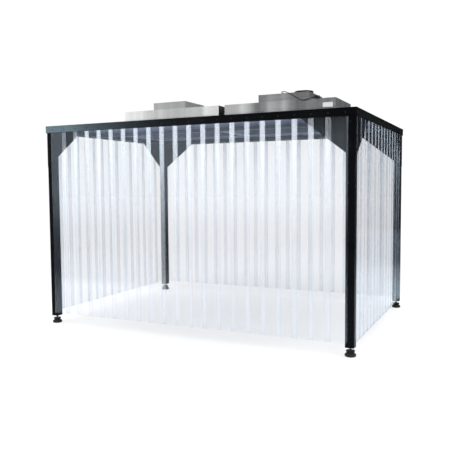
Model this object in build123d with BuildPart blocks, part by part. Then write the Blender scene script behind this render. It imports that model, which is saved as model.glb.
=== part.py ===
from build123d import *
import os
from math import cos, pi, radians, sin, tan

# Walk-in softwall clean booth: a black steel frame on four levelling feet, clear strip
# curtains on all four sides, and two fan filter units that blow filtered air down
# through the roof.  Millimetres, +Z up, front towards -Y, origin on the floor under
# the middle of the booth.

os.makedirs("parts", exist_ok=True)

# ---------------------------------------------------------------- driving dimensions
# Frame
frame_width = 3340.0            # over the lips of the left and right beams
frame_depth = 2380.0            # over the lips of the front and rear beams
frame_height = 2125.0           # floor to the top of the beams
post_side = 80.0
post_wall = 3.0
post_radius = 5.0
end_plate = 8.0                 # plates welded into both ends of a post
beam_height = 60.0
beam_wall = 3.0
lip_height = 16.0               # nose along the top edge of a beam
lip_overhang = 3.0
lip_radius = 2.0
fascia_height = 72.0            # top of the beam to the bottom of its hanging web
fascia_wall = 3.0
corner_radius = 12.0

# Levelling feet
post_clearance = 81.0           # floor to the underside of a post
stem_diameter = 16.0
stem_clearance = 0.1            # on the diameter
stem_reach = 60.0               # stem above the underside of the post
pad_diameter = 98.0
pad_height = 55.0
pad_edge = 10.0                 # rounded rim of the pad
neck_diameter = 46.0
grip_diameter = 78.0
grip_height = 12.0
grip_count = 10
grip_notch = 8.0
nut_across_flats = 30.0
nut_height = 10.0
nut_flange_diameter = 46.0
nut_flange_height = 4.0

# Strip curtains
strip_width = 200.0
strip_pitch = 150.0             # two neighbours overlap by the difference
strip_thickness = 2.0
strip_bottom = 118.0            # floor to the lower edge of the strips
strip_end = 40.0                # least distance from the end of a wall to its strips
strip_head = 20.0               # strip above its stud holes
stud_drop = 40.0                # top of the beam to the studs
stud_side = 5.0
stud_clearance = 0.4
stud_bar_thickness = 3.0
stud_bar_height = 40.0
cap_nut_across_flats = 11.0
cap_nut_height = 2.6

# Corner gussets
gusset_run = 400.0              # along the beam, from the post's inner face
gusset_drop = 315.0             # below the beam, at the post's inner face
gusset_sheet = 3.0
gusset_flange = 34.0            # under the beam
gusset_nose = 8.0               # blunt tip under the beam
gusset_edge = 2.0               # back from the post's outer corner
gusset_bolt_side = 8.0
gusset_bolt_clearance = 0.4
gusset_bolt_ends = 60.0         # end of the flange to its bolt
gusset_screw = 8.0              # flush screws into the post, across flats
gusset_head = 16.0              # across flats
gusset_head_height = 5.0

# Roof grid and ceiling
rail_width = 40.0
rail_height = 60.0
rail_wall = 2.0
seat = 15.0                     # width of a unit's edge that rests on its rail
panel_sheet = 2.0
panel_fold = 20.0               # stiffening fold under a ceiling panel
panel_seat = 30.0               # panel lying on the frame at its edge
fit_gap = 2.0                   # between roof pieces that sit side by side

# Fan filter units
unit_length = 1220.0
unit_width = 610.0
unit_spacing = 70.0             # between the two units
case_height = 125.0             # filter case on the rails
case_sheet = 2.0
case_seat = 20.0                # inward flange under the filter
plenum_height = 95.0
joint_flange = 8.0              # where plenum and filter case meet
joint_thickness = 3.0
filter_height = 69.0
filter_gap = 2.0                # around the filter in its case
filter_frame = 18.0
pleats = 30
pleat_depth = 18.0
grid_sheet = 3.0
grid_columns = 12
grid_rows = 5
grid_bar = 12.0
fan_box_length = 410.0
fan_box_width = 455.0
fan_box_height = 76.0
fan_box_sheet = 2.0
fan_box_shift = -10.0           # sideways from the middle of the unit
fan_box_flange = 16.0           # inward, on the plenum
control_length = 140.0          # electrical section beside the right-hand fan
hem = 9.0                       # folded edge along the top of a fan box
hem_stand = 1.5

# Fan
impeller_diameter = 300.0
impeller_eye = 196.0
blade_count = 7
blade_thickness = 2.5
blade_height = 50.0
blade_inner = 104.0             # radius of a blade's inner edge
blade_lean = 38.0               # degrees from a blade's inner to its outer edge
blade_bow = 2.0                 # middle of a blade, outwards
disc_thickness = 2.0
collar_height = 12.0
throat_radius = 92.0
throat_wall = 2.0
mouth_radius = 20.0
inlet_flange_radius = 140.0
throat_depth = 30.0
hub_diameter = 40.0
hub_height = 22.0
shaft_diameter = 12.0
shaft_clearance = 0.06
motor_diameter = 110.0
motor_height = 52.0
motor_gap = 3.0                 # under the impeller's disc
strap_width = 60.0
strap_thickness = 4.0
prefilter_side = 290.0
prefilter_pad = 3.0
prefilter_frame = 3.0
prefilter_bar = 10.0
prefilter_cells = 3

# Power lead on the right-hand unit
lead_diameter = 8.0
gland_size = (50.0, 34.0, 26.0)
gland_right = 165.0             # right-hand end of the unit to the gland
gland_overhang = 20.0           # past the front of the unit
lead_exit_drop = 14.0           # top of the gland to the middle of the lead

coil_radius = 83.0              # middle of the turns
coil_height = 26.0
coil_width = 24.0
coil_x = 882.0
coil_y = -166.0
plug_size = (46.0, 30.0, 22.0)
plug_radius = 6.0
gland_radius = 6.0

# ---------------------------------------------------------------- derived sizes
curtain_gap = 2 * strip_thickness + stud_bar_thickness
fascia_inset = lip_overhang
strip_inset = fascia_inset + fascia_wall
bar_inset = strip_inset + 2 * strip_thickness
post_inset = strip_inset + curtain_gap
beam_inset = post_inset + post_side          # inner face of a beam and a post
beam_bottom = frame_height - beam_height
stud_level = frame_height - stud_drop
strip_top = stud_level + strip_head
unit_middle = (unit_length + unit_spacing) / 2
joint_level = frame_height + case_height
plenum_top = joint_level + plenum_height
fan_box_top = plenum_top + fan_box_height
fan_middle_y = (fan_box_width - unit_width) / 2
rail_inner = unit_width / 2 - seat
rail_outer = rail_inner + rail_width
inner_x = frame_width / 2 - beam_inset
inner_y = frame_depth / 2 - beam_inset
impeller_top = fan_box_top - throat_depth + collar_height
disc_level = impeller_top - collar_height - disc_thickness - blade_height - disc_thickness
motor_bottom = disc_level - motor_gap - motor_height
opening_radius = impeller_diameter / 2 + 15.0
stud_hole = stud_side + stud_clearance
gusset_hole = gusset_bolt_side + gusset_bolt_clearance
gusset_inset = post_inset - gusset_sheet
gusset_bolt_inset = post_inset + gusset_flange / 2
gusset_screw_levels = [beam_bottom - gusset_bolt_ends, beam_bottom - gusset_drop + gusset_bolt_ends]
gusset_screw_hole = gusset_screw + gusset_bolt_clearance
gland_y = gland_size[1] / 2 - unit_width / 2 - gland_overhang

# Each wall: the turn that brings the front wall to it
WALL_TURNS = {"front": 0, "right": 90, "rear": 180, "left": 270}
# Each corner: sides of X and Y
CORNERS = {"front_left": (-1, -1), "front_right": (1, -1), "rear_left": (-1, 1), "rear_right": (1, 1)}
UNITS = {"left": -1, "right": 1}


def wall_size(wall):
    """Half the length of a wall, and its distance from the middle of the booth."""
    if wall in ("front", "rear"):
        return frame_width / 2, frame_depth / 2
    return frame_depth / 2, frame_width / 2


def wall_axes(wall):
    """Direction along a wall, and direction out of the booth through it."""
    turn = radians(WALL_TURNS[wall])
    return Vector(cos(turn), sin(turn), 0), Vector(sin(turn), -cos(turn), 0)


def face_plane(wall, inset):
    """Upright plane in a wall: X along it, Y up, Z out of the booth."""
    along, outward = wall_axes(wall)
    return Plane(origin=outward * (wall_size(wall)[1] - inset), x_dir=along, z_dir=outward)


def section_plane(wall, offset=0.0):
    """Plane across a wall: X into the booth from the outermost face, Y up."""
    along, outward = wall_axes(wall)
    origin = outward * wall_size(wall)[1] + along * offset
    return Plane(origin=origin, x_dir=-outward, z_dir=along)


def plan_plane(wall, level):
    """Level plane: X along a wall, Y into the booth, origin over the middle of its outer face."""
    along, outward = wall_axes(wall)
    return Plane(origin=outward * wall_size(wall)[1] + Vector(0, 0, level), x_dir=along, z_dir=(0, 0, 1))


def strip_count(wall):
    """As many strips as the length of a wall takes."""
    return int((2 * (wall_size(wall)[0] - strip_end) - strip_width) // strip_pitch) + 1


def strip_places(wall):
    """Middle of each strip along a wall."""
    last = (strip_count(wall) - 1) / 2
    return [(i - last) * strip_pitch for i in range(strip_count(wall))]


def stud_places(wall):
    """One stud in each overlap, and one in each free edge of the end strips."""
    edge = (strip_width - strip_pitch) / 2
    half = strip_width / 2 - edge
    return [x - half for x in strip_places(wall)] + [strip_places(wall)[-1] + half]


def save(builder, name):
    builder.part.label = name
    export_step(builder.part, f"parts/{name}.step")


# ---------------------------------------------------------------- posts and feet
def corner_middle(corner):
    side_x, side_y = CORNERS[corner]
    return (side_x * (frame_width / 2 - post_inset - post_side / 2),
            side_y * (frame_depth / 2 - post_inset - post_side / 2))


def corner_walls(corner):
    """The two walls that meet at a corner, and which end of each is there."""
    side_x, side_y = CORNERS[corner]
    ends = {"front": side_x, "rear": -side_x, "right": side_y, "left": -side_y}
    near = ("front" if side_y < 0 else "rear", "left" if side_x < 0 else "right")
    return [(wall, ends[wall]) for wall in near]


def post_middle_run(wall):
    """Middle of the posts, measured along a wall from its middle."""
    return wall_size(wall)[0] - post_inset - post_side / 2


def make_post(corner):
    x, y = corner_middle(corner)
    inner_side = post_side - 2 * post_wall
    with BuildPart() as post:
        with BuildSketch(Plane((x, y, post_clearance))):
            RectangleRounded(post_side, post_side, post_radius)
        extrude(amount=beam_bottom - post_clearance)
        with BuildSketch(Plane((x, y, post_clearance + end_plate))):
            RectangleRounded(inner_side, inner_side, post_radius - post_wall)
        extrude(amount=beam_bottom - post_clearance - 2 * end_plate, mode=Mode.SUBTRACT)
        with BuildSketch(Plane((x, y, post_clearance))):
            Circle((stem_diameter + stem_clearance) / 2)
        extrude(amount=end_plate, mode=Mode.SUBTRACT)
        for wall, end in corner_walls(corner):
            with BuildSketch(face_plane(wall, post_inset)):
                with Locations(*[(end * post_middle_run(wall), level) for level in gusset_screw_levels]):
                    RegularPolygon(gusset_screw_hole / 2, 6, major_radius=False)
            extrude(amount=-post_wall, mode=Mode.SUBTRACT)
    save(post, f"post_{corner}")


def make_foot(corner):
    x, y = corner_middle(corner)
    pad_radius = pad_diameter / 2
    neck = neck_diameter / 2
    stem = stem_diameter / 2
    stem_top = post_clearance + stem_reach
    grip_level = pad_height - grip_height
    with BuildPart() as foot:
        with BuildSketch(Plane((x, y, 0), x_dir=(1, 0, 0), z_dir=(0, -1, 0))):
            with BuildLine():
                Line((0, 0), (pad_radius - pad_edge, 0))
                RadiusArc((pad_radius - pad_edge, 0), (pad_radius, pad_edge), -pad_edge)
                Line((pad_radius, pad_edge), (pad_radius, 2 * pad_edge))
                Polyline((pad_radius, 2 * pad_edge), (neck, grip_level), (neck, pad_height), (stem, pad_height),
                         (stem, stem_top), (0, stem_top), (0, 0))
            make_face()
        revolve(axis=Axis((x, y, 0), (0, 0, 1)))
        with BuildSketch(Plane((x, y, grip_level))):
            Circle(grip_diameter / 2)
            with PolarLocations(grip_diameter / 2, grip_count):
                RegularPolygon(grip_notch, 4, mode=Mode.SUBTRACT)
        extrude(amount=grip_height)
    save(foot, f"foot_{corner}")


def make_lock_nuts():
    """Flanged nuts run up against the posts' lower plates."""
    with BuildPart() as nuts:
        for corner in CORNERS:
            x, y = corner_middle(corner)
            with BuildSketch(Plane((x, y, post_clearance - nut_height))):
                RegularPolygon(nut_across_flats / 2, 6, major_radius=False)
            extrude(amount=nut_height)
            with BuildSketch(Plane((x, y, post_clearance - nut_flange_height))):
                Circle(nut_flange_diameter / 2)
            extrude(amount=nut_flange_height)
            with BuildSketch(Plane((x, y, post_clearance - nut_height))):
                Circle((stem_diameter + stem_clearance) / 2)
            extrude(amount=nut_height, mode=Mode.SUBTRACT)
    save(nuts, "foot_lock_nuts")


# ---------------------------------------------------------------- beams
def make_beam(wall):
    """Box section with a nose and a hanging web outside it, mitred at both ends."""
    half_length, across = wall_size(wall)
    top = frame_height
    section = section_plane(wall, -half_length)
    with BuildPart() as beam:
        with BuildSketch(section):
            with BuildLine() as outline:
                Polyline((0, top), (beam_inset, top), (beam_inset, beam_bottom), (post_inset, beam_bottom),
                         (post_inset, top - beam_wall), (strip_inset, top - beam_wall),
                         (strip_inset, top - fascia_height), (fascia_inset, top - fascia_height),
                         (fascia_inset, top - lip_height), (0, top - lip_height), close=True)
                nose = section.origin + Vector(0, 0, top)
                fillet(outline.vertices().sort_by_distance(nose)[0], lip_radius)
            make_face()
            with Locations((post_inset + post_side / 2, top - beam_height / 2)):
                Rectangle(post_side - 2 * beam_wall, beam_height - 2 * beam_wall, mode=Mode.SUBTRACT)
        extrude(amount=2 * half_length)
        with BuildSketch(plan_plane(wall, top - fascia_height)):
            with BuildLine():
                Polyline((-half_length, 0), (half_length, 0), (half_length - beam_inset, beam_inset),
                         (beam_inset - half_length, beam_inset), close=True)
            make_face()
        extrude(amount=fascia_height, mode=Mode.INTERSECT)
        with BuildSketch(Plane.XY.offset(top - fascia_height)):
            RectangleRounded(frame_width, frame_depth, corner_radius)
        extrude(amount=fascia_height, mode=Mode.INTERSECT)
        with BuildSketch(face_plane(wall, fascia_inset)):
            with Locations(*[(x, stud_level) for x in stud_places(wall)]):
                Rectangle(stud_hole, stud_hole)
        extrude(amount=-fascia_wall, mode=Mode.SUBTRACT)
        with BuildSketch(plan_plane(wall, beam_bottom)):
            with Locations(*[(end * x, gusset_bolt_inset) for end in (-1, 1) for x in beam_bolt_places(wall)]):
                Rectangle(gusset_hole, gusset_hole)
        extrude(amount=beam_wall, mode=Mode.SUBTRACT)
    save(beam, f"beam_{wall}")


# ---------------------------------------------------------------- gussets
def beam_bolt_places(wall):
    """Bolts of one gusset's level flange, measured along a wall from its middle."""
    start = wall_size(wall)[0] - beam_inset
    return [start - gusset_bolt_ends, start - gusset_run + gusset_bolt_ends]


def make_gusset(wall, end, name):
    """Sheet triangle on the outside of a post, folded in under the beam."""
    half_length, across = wall_size(wall)
    start = half_length - beam_inset
    outer = half_length - post_inset - gusset_edge
    tip = start - gusset_run
    top = beam_bottom
    foot = top - gusset_drop * (outer - tip) / gusset_run
    with BuildPart() as gusset:
        with BuildSketch(face_plane(wall, gusset_inset)):
            with BuildLine():
                Polyline((end * outer, top), (end * tip, top), (end * tip, top - gusset_nose),
                         (end * outer, foot), close=True)
            make_face()
            with Locations(*[(end * post_middle_run(wall), level) for level in gusset_screw_levels]):
                RegularPolygon(gusset_screw_hole / 2, 6, major_radius=False, mode=Mode.SUBTRACT)
        extrude(amount=-gusset_sheet)
        with BuildSketch(face_plane(wall, gusset_inset)):
            with Locations((end * (start - gusset_run / 2), top - gusset_sheet / 2)):
                Rectangle(gusset_run, gusset_sheet)
        extrude(amount=-gusset_sheet - gusset_flange)
        with BuildSketch(plan_plane(wall, beam_bottom)):
            with Locations(*[(end * x, gusset_bolt_inset) for x in beam_bolt_places(wall)]):
                Rectangle(gusset_hole, gusset_hole)
        extrude(amount=-gusset_sheet, mode=Mode.SUBTRACT)
    save(gusset, name)


def make_gusset_bolts():
    """Flush screws into the posts, and square-necked bolts up into the beams."""
    with BuildPart() as bolts:
        for corner in CORNERS:
            for wall, end in corner_walls(corner):
                with BuildSketch(face_plane(wall, gusset_inset)):
                    with Locations(*[(end * post_middle_run(wall), level) for level in gusset_screw_levels]):
                        RegularPolygon(gusset_screw / 2, 6, major_radius=False)
                extrude(amount=-gusset_sheet - post_wall)
                places = [(end * x, gusset_bolt_inset) for x in beam_bolt_places(wall)]
                with BuildSketch(plan_plane(wall, beam_bottom - gusset_sheet)):
                    with Locations(*places):
                        RegularPolygon(gusset_head / 2, 6, major_radius=False)
                extrude(amount=-gusset_head_height)
                with BuildSketch(plan_plane(wall, beam_bottom - gusset_sheet)):
                    with Locations(*places):
                        Rectangle(gusset_bolt_side, gusset_bolt_side)
                extrude(amount=gusset_sheet + beam_wall)
    save(bolts, "gusset_bolts")


# ---------------------------------------------------------------- strip curtains
def make_curtain(wall):
    """Clear strips in two layers, every second one outside, on the studs at their heads."""
    height = strip_top - strip_bottom
    layers = []
    for layer in (0, 1):
        middles = strip_places(wall)[layer::2]
        studs = [x + side * strip_pitch / 2 for x in middles for side in (-1, 1)]
        with BuildPart() as strips:
            with BuildSketch(face_plane(wall, strip_inset + layer * strip_thickness)):
                with Locations(*[(x, strip_bottom + height / 2) for x in middles]):
                    Rectangle(strip_width, height)
                with Locations(*[(x, stud_level) for x in studs]):
                    Rectangle(stud_hole, stud_hole, mode=Mode.SUBTRACT)
            extrude(amount=-strip_thickness)
        layers += strips.solids()
    export_step(Compound(label=f"strips_{wall}", children=layers), f"parts/strips_{wall}.step")


def make_stud_bar(wall):
    """Flat bar behind the strips, with welded studs that reach out through the beam's web."""
    length = stud_places(wall)[-1] * 2 + strip_width - strip_pitch
    reach = bar_inset - fascia_inset
    with BuildPart() as bar:
        with BuildSketch(face_plane(wall, bar_inset)):
            with Locations((0, stud_level)):
                Rectangle(length, stud_bar_height)
        extrude(amount=-stud_bar_thickness)
        with BuildSketch(face_plane(wall, bar_inset)):
            with Locations(*[(x, stud_level) for x in stud_places(wall)]):
                Rectangle(stud_side, stud_side)
        extrude(amount=reach)
    save(bar, f"stud_bar_{wall}")


def make_cap_nuts():
    """A low cap nut on every stud, seated on the beams' webs."""
    with BuildPart() as nuts:
        for wall in WALL_TURNS:
            with BuildSketch(face_plane(wall, fascia_inset)):
                with Locations(*[(x, stud_level) for x in stud_places(wall)]):
                    RegularPolygon(cap_nut_across_flats / 2, 6, major_radius=False)
            extrude(amount=cap_nut_height)
    save(nuts, "strip_cap_nuts")


# ---------------------------------------------------------------- roof grid and ceiling
def make_rail(name, side):
    """Long tube between the left and right beams, beside the fan filter units."""
    with BuildPart() as rail:
        with BuildSketch(Plane((-inner_x, side * (rail_inner + rail_width / 2), frame_height - rail_height / 2),
                               x_dir=(0, 1, 0), z_dir=(1, 0, 0))):
            Rectangle(rail_width, rail_height)
            Rectangle(rail_width - 2 * rail_wall, rail_height - 2 * rail_wall, mode=Mode.SUBTRACT)
        extrude(amount=2 * inner_x)
    save(rail, f"roof_rail_{name}")


def make_crossbars():
    """Short tubes between the two rails, under the ends of the units."""
    end = unit_middle + unit_length / 2 - seat
    middle = unit_spacing / 2 + seat
    spans = ((-end - rail_width, -end), (-middle, middle), (end, end + rail_width))
    with BuildPart() as bars:
        for x_low, x_high in spans:
            width = x_high - x_low
            with BuildSketch(Plane(((x_low + x_high) / 2, -rail_inner, frame_height - rail_height / 2),
                                   x_dir=(-1, 0, 0), z_dir=(0, 1, 0))):
                Rectangle(width, rail_height)
                Rectangle(width - 2 * rail_wall, rail_height - 2 * rail_wall, mode=Mode.SUBTRACT)
            extrude(amount=2 * rail_inner)
    save(bars, "roof_crossbars")


def make_panel(name, plate, opening):
    """Lay-in blank: a flat plate over an opening of the grid, with a folded rim inside it."""
    x0, y0, x1, y1 = plate
    u0, v0, u1, v1 = opening
    with BuildPart() as panel:
        with BuildSketch(Plane(((x0 + x1) / 2, (y0 + y1) / 2, frame_height))):
            Rectangle(x1 - x0, y1 - y0)
        extrude(amount=panel_sheet)
        with BuildSketch(Plane(((u0 + u1) / 2, (v0 + v1) / 2, frame_height))):
            rim_x = u1 - u0 - 2 * fit_gap
            rim_y = v1 - v0 - 2 * fit_gap
            Rectangle(rim_x, rim_y)
            Rectangle(rim_x - 2 * panel_sheet, rim_y - 2 * panel_sheet, mode=Mode.SUBTRACT)
        extrude(amount=-panel_fold)
    save(panel, f"ceiling_panel_{name}")


def make_ceiling():
    over_x = inner_x + panel_seat
    over_y = inner_y + panel_seat
    beside = unit_width / 2 + fit_gap
    end_start = unit_middle + unit_length / 2 + fit_gap
    end_open = unit_middle + unit_length / 2 - seat + rail_width
    make_panel("front", (-over_x, -over_y, over_x, -beside), (-inner_x, -inner_y, inner_x, -rail_outer))
    make_panel("rear", (-over_x, beside, over_x, over_y), (-inner_x, rail_outer, inner_x, inner_y))
    half = beside - fit_gap
    make_panel("left", (-over_x, -half, -end_start, half), (-inner_x, -rail_inner, -end_open, rail_inner))
    make_panel("right", (end_start, -half, over_x, half), (end_open, -rail_inner, inner_x, rail_inner))
    make_rail("front", -1)
    make_rail("rear", 1)
    make_crossbars()


# ---------------------------------------------------------------- fan filter units
def make_case(unit, x):
    """Filter case: folded sheet frame with an inward flange below and an outward one above."""
    with BuildPart() as case:
        with BuildSketch(Plane((x, 0, frame_height))):
            Rectangle(unit_length, unit_width)
        extrude(amount=case_height)
        with BuildSketch(Plane((x, 0, joint_level))):
            Rectangle(unit_length + 2 * joint_flange, unit_width + 2 * joint_flange)
        extrude(amount=-joint_thickness)
        with BuildSketch(Plane((x, 0, frame_height + case_sheet))):
            Rectangle(unit_length - 2 * case_sheet, unit_width - 2 * case_sheet)
        extrude(amount=case_height - case_sheet, mode=Mode.SUBTRACT)
        with BuildSketch(Plane((x, 0, frame_height))):
            Rectangle(unit_length - 2 * case_seat, unit_width - 2 * case_seat)
        extrude(amount=case_sheet, mode=Mode.SUBTRACT)
    save(case, f"{unit}_filter_case")


def make_filter(unit, x):
    """Sealed filter: a frame around a pleated pack."""
    length = unit_length - 2 * case_sheet - 2 * filter_gap
    width = unit_width - 2 * case_sheet - 2 * filter_gap
    pack_length = length - 2 * filter_frame
    pack_width = width - 2 * filter_frame
    bottom = frame_height + case_sheet
    low = bottom + filter_gap
    high = bottom + filter_height - filter_gap
    pitch = pack_length / pleats
    lower = []
    upper = []
    for i in range(pleats):
        start = -pack_length / 2 + i * pitch
        lower += [(start, low), (start + pitch / 2, low + pleat_depth)]
        upper += [(start, high - pleat_depth), (start + pitch / 2, high)]
    lower.append((pack_length / 2, low))
    upper.append((pack_length / 2, high - pleat_depth))
    with BuildPart() as pack:
        with BuildSketch(Plane((x, 0, bottom))):
            Rectangle(length, width)
            Rectangle(pack_length, pack_width, mode=Mode.SUBTRACT)
        extrude(amount=filter_height)
        with BuildSketch(Plane((x, 0, 0), x_dir=(1, 0, 0), z_dir=(0, -1, 0))):
            with BuildLine():
                Polyline(*lower, *reversed(upper), close=True)
            make_face()
        extrude(amount=pack_width / 2, both=True)
    save(pack, f"{unit}_filter")


def make_grid(unit, x):
    """Outlet grid under the filter, on the case's lower flange."""
    length = unit_length - 2 * seat - 2 * fit_gap
    width = unit_width - 2 * seat - 2 * fit_gap
    cell_x = (length - grid_bar) / grid_columns
    cell_y = (width - grid_bar) / grid_rows
    with BuildPart() as grid:
        with BuildSketch(Plane((x, 0, frame_height))):
            Rectangle(length, width)
            with GridLocations(cell_x, cell_y, grid_columns, grid_rows):
                Rectangle(cell_x - grid_bar, cell_y - grid_bar, mode=Mode.SUBTRACT)
        extrude(amount=-grid_sheet)
    save(grid, f"{unit}_outlet_grid")


def make_plenum(unit, x):
    """Upper housing: folded lid with a joint flange, a round opening and the motor's strap."""
    fan_x = x + fan_box_shift
    deck = plenum_top - case_sheet
    strap_bottom = motor_bottom - strap_thickness
    leg = opening_radius + strap_thickness
    with BuildPart() as plenum:
        with BuildSketch(Plane((x, 0, joint_level))):
            Rectangle(unit_length, unit_width)
        extrude(amount=plenum_height)
        with BuildSketch(Plane((x, 0, joint_level))):
            Rectangle(unit_length + 2 * joint_flange, unit_width + 2 * joint_flange)
        extrude(amount=joint_thickness)
        with BuildSketch(Plane((x, 0, joint_level))):
            Rectangle(unit_length - 2 * case_sheet, unit_width - 2 * case_sheet)
        extrude(amount=plenum_height - case_sheet, mode=Mode.SUBTRACT)
        with BuildSketch(Plane((fan_x, fan_middle_y, deck))):
            Circle(opening_radius)
        extrude(amount=case_sheet, mode=Mode.SUBTRACT)
        with BuildSketch(Plane((fan_x, fan_middle_y, 0), x_dir=(0, 1, 0), z_dir=(1, 0, 0))):
            with BuildLine():
                Polyline((-leg, deck), (-leg, strap_bottom), (leg, strap_bottom), (leg, deck),
                         (leg + strap_thickness, deck), (leg + strap_thickness, strap_bottom - strap_thickness),
                         (-leg - strap_thickness, strap_bottom - strap_thickness),
                         (-leg - strap_thickness, deck), close=True)
            make_face()
        extrude(amount=strap_width / 2, both=True)
    save(plenum, f"{unit}_plenum")


def make_fan_box(unit, x, control):
    """Fan housing on the plenum; the right-hand one has an electrical section at its side."""
    fan_x = x + fan_box_shift
    length = fan_box_length + control
    middle = fan_x + control / 2
    inner_x_size = length - 2 * fan_box_sheet
    inner_y_size = fan_box_width - 2 * fan_box_sheet
    with BuildPart() as box:
        with BuildSketch(Plane((middle, fan_middle_y, plenum_top))):
            Rectangle(length, fan_box_width)
        extrude(amount=fan_box_height)
        with BuildSketch(Plane((middle, fan_middle_y, fan_box_top - hem))):
            Rectangle(length + 2 * hem_stand, fan_box_width + 2 * hem_stand)
        extrude(amount=hem)
        with BuildSketch(Plane((middle, fan_middle_y, plenum_top + fan_box_sheet))):
            Rectangle(inner_x_size, inner_y_size)
        extrude(amount=fan_box_height - 2 * fan_box_sheet, mode=Mode.SUBTRACT)
        with BuildSketch(Plane((middle, fan_middle_y, plenum_top))):
            Rectangle(length - 2 * fan_box_flange, fan_box_width - 2 * fan_box_flange)
        extrude(amount=fan_box_sheet, mode=Mode.SUBTRACT)
        with BuildSketch(Plane((fan_x, fan_middle_y, fan_box_top))):
            Circle(throat_radius + mouth_radius)
        extrude(amount=-fan_box_sheet, mode=Mode.SUBTRACT)
        if control:
            wall_x = fan_x + fan_box_length / 2
            with BuildSketch(Plane((wall_x, fan_middle_y, plenum_top))):
                Rectangle(fan_box_sheet, inner_y_size)
            extrude(amount=fan_box_height - fan_box_sheet)
    save(box, f"{unit}_fan_box")


def make_inlet_ring(unit, x):
    """Spun inlet: flat flange on the fan box, curving down into the impeller's eye."""
    fan_x = x + fan_box_shift
    mouth = throat_radius + mouth_radius
    curve_level = fan_box_top + throat_wall - mouth_radius
    bottom = fan_box_top - throat_depth
    turn = sin(radians(45))
    inside = mouth_radius
    outside = mouth_radius - throat_wall
    with BuildPart() as ring:
        with BuildSketch(Plane((fan_x, fan_middle_y, 0), x_dir=(1, 0, 0), z_dir=(0, -1, 0))):
            with BuildLine():
                Polyline((mouth, fan_box_top), (inlet_flange_radius, fan_box_top),
                         (inlet_flange_radius, fan_box_top + throat_wall), (mouth, fan_box_top + throat_wall))
                ThreePointArc((mouth, fan_box_top + throat_wall),
                              (mouth - inside * turn, curve_level + inside * turn), (throat_radius, curve_level))
                Polyline((throat_radius, curve_level), (throat_radius, bottom),
                         (throat_radius + throat_wall, bottom), (throat_radius + throat_wall, curve_level))
                ThreePointArc((throat_radius + throat_wall, curve_level),
                              (mouth - outside * turn, curve_level + outside * turn), (mouth, fan_box_top))
            make_face()
        revolve(axis=Axis((fan_x, fan_middle_y, 0), (0, 0, 1)))
    save(ring, f"{unit}_inlet_ring")


def make_impeller(unit, x):
    """Backward-curved wheel: disc, blades, shroud with a collar, and a bored hub."""
    fan_x = x + fan_box_shift
    radius = impeller_diameter / 2
    blades_bottom = disc_level + disc_thickness
    shroud = blades_bottom + blade_height
    collar = impeller_eye / 2
    blade_outer = radius - disc_thickness
    lean = radians(blade_lean)
    half_lean = lean / 2
    bow = (blade_inner + blade_outer) / 2 + blade_bow
    blade = ThreePointArc((blade_inner, 0), (bow * cos(half_lean), -bow * sin(half_lean)),
                          (blade_outer * cos(lean), -blade_outer * sin(lean)))
    with BuildPart() as wheel:
        with BuildSketch(Plane((fan_x, fan_middle_y, disc_level))):
            Circle(radius)
        extrude(amount=disc_thickness)
        with BuildSketch(Plane((fan_x, fan_middle_y, blades_bottom))):
            with PolarLocations(0, blade_count):
                SlotArc(blade, blade_thickness)
        extrude(amount=blade_height)
        with BuildSketch(Plane((fan_x, fan_middle_y, shroud))):
            Circle(radius)
            Circle(collar, mode=Mode.SUBTRACT)
        extrude(amount=disc_thickness)
        with BuildSketch(Plane((fan_x, fan_middle_y, shroud))):
            Circle(collar + disc_thickness)
            Circle(collar, mode=Mode.SUBTRACT)
        extrude(amount=disc_thickness + collar_height)
        with BuildSketch(Plane((fan_x, fan_middle_y, blades_bottom))):
            Circle(hub_diameter / 2)
        extrude(amount=hub_height)
        with BuildSketch(Plane((fan_x, fan_middle_y, disc_level))):
            Circle((shaft_diameter + shaft_clearance) / 2)
        extrude(amount=disc_thickness + hub_height, mode=Mode.SUBTRACT)
    save(wheel, f"{unit}_impeller")


def make_motor(unit, x):
    """Motor on its strap, with the shaft that carries the impeller."""
    fan_x = x + fan_box_shift
    with BuildPart() as motor:
        with BuildSketch(Plane((fan_x, fan_middle_y, motor_bottom - strap_thickness))):
            Circle(motor_diameter / 2)
        extrude(amount=motor_height + strap_thickness)
        with BuildSketch(Plane((fan_x, fan_middle_y, motor_bottom + motor_height))):
            Circle(shaft_diameter / 2)
        extrude(amount=motor_gap + disc_thickness + hub_height)
    save(motor, f"{unit}_motor")


def make_prefilter(unit, x):
    """Washable pad in a barred frame over the inlet."""
    fan_x = x + fan_box_shift
    level = fan_box_top + throat_wall
    cell = (prefilter_side - prefilter_bar) / prefilter_cells
    with BuildPart() as prefilter:
        with BuildSketch(Plane((fan_x, fan_middle_y, level))):
            Rectangle(prefilter_side, prefilter_side)
        extrude(amount=prefilter_pad)
        with BuildSketch(Plane((fan_x, fan_middle_y, level + prefilter_pad))):
            Rectangle(prefilter_side, prefilter_side)
            with GridLocations(cell, cell, prefilter_cells, prefilter_cells):
                Rectangle(cell - prefilter_bar, cell - prefilter_bar, mode=Mode.SUBTRACT)
        extrude(amount=prefilter_frame)
    save(prefilter, f"{unit}_prefilter")


# ---------------------------------------------------------------- power lead
def make_gland(x):
    """Cable entry on the front edge of the right-hand plenum."""
    length, width, height = gland_size
    with BuildPart() as gland:
        with BuildSketch(Plane((x, gland_y, plenum_top))):
            RectangleRounded(length, width, gland_radius)
        extrude(amount=height)
    save(gland, "power_gland")


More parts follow.
